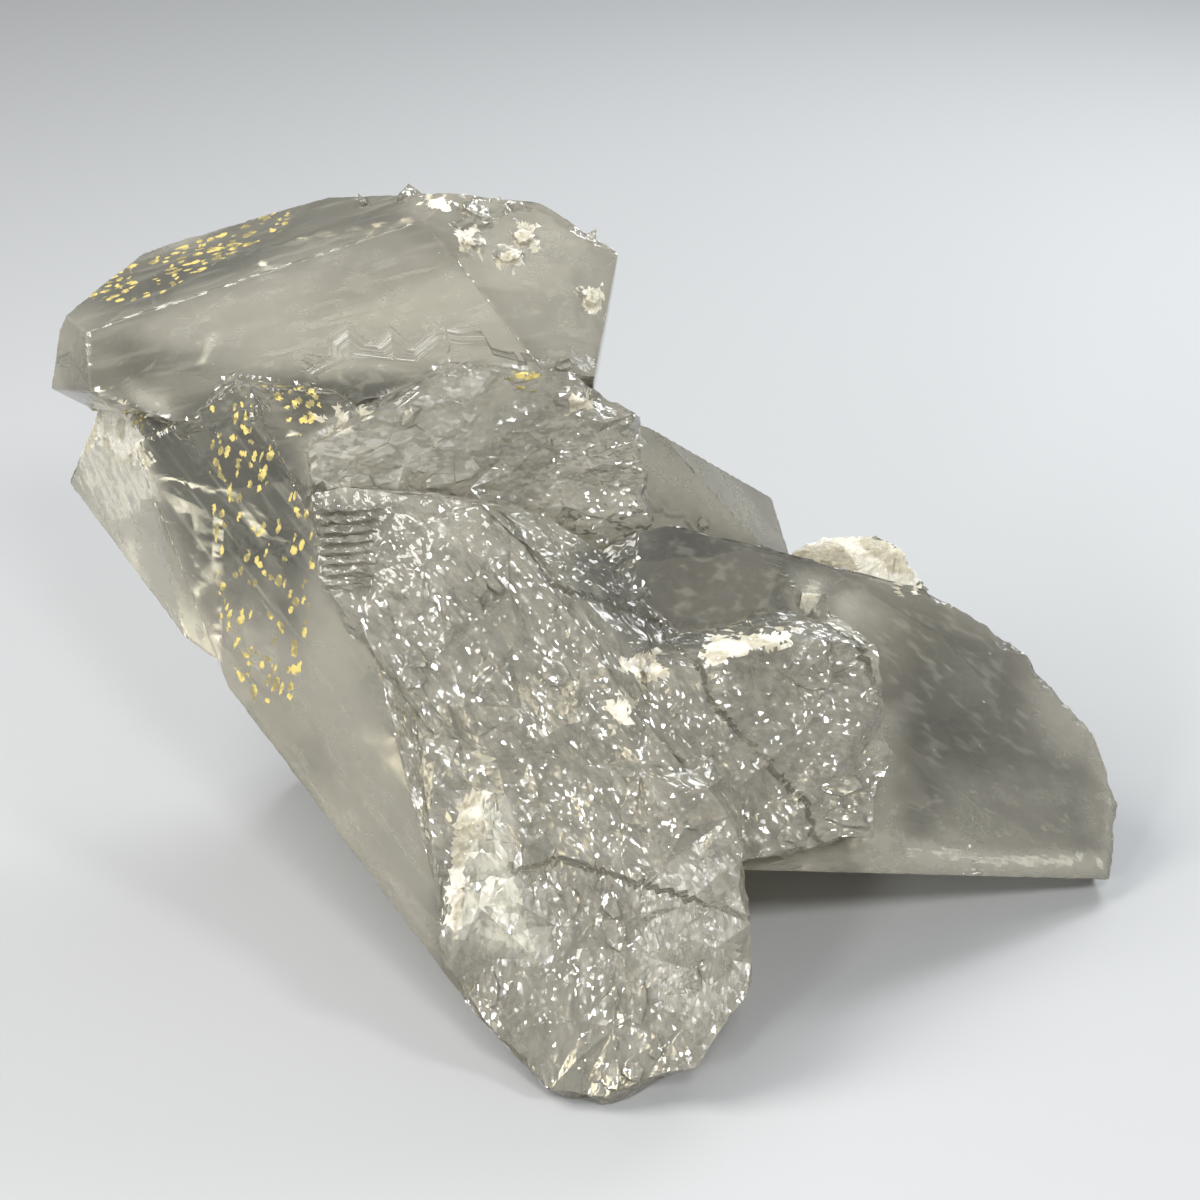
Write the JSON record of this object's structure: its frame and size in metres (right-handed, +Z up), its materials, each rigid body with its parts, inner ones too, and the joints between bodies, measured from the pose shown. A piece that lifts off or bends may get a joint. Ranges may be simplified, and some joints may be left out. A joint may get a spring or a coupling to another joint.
{
  "type": "quartz cluster",
  "caption": "Cluster of smoky quartz crystals grown into one another, with flat glassy faces, frosted stepped faces and a foot cut flat to stand on",
  "frame": {"origin": "the middle of the foot: the centre of the box around the cluster, at its lowest point", "axes": "X runs to the right along the cluster's length, Y runs away from the viewer, Z is up"},
  "size_m": [0.1574, 0.1098, 0.0992],
  "materials": {
    "quartz": "smoky grey quartz, glassy on the broad faces and frosted on the stepped ones, with pale healed cracks and a few golden flecks inside"
  },
  "bodies": {
    "root": {"quartz_cluster": "quartz"}
  },
  "joints": []
}
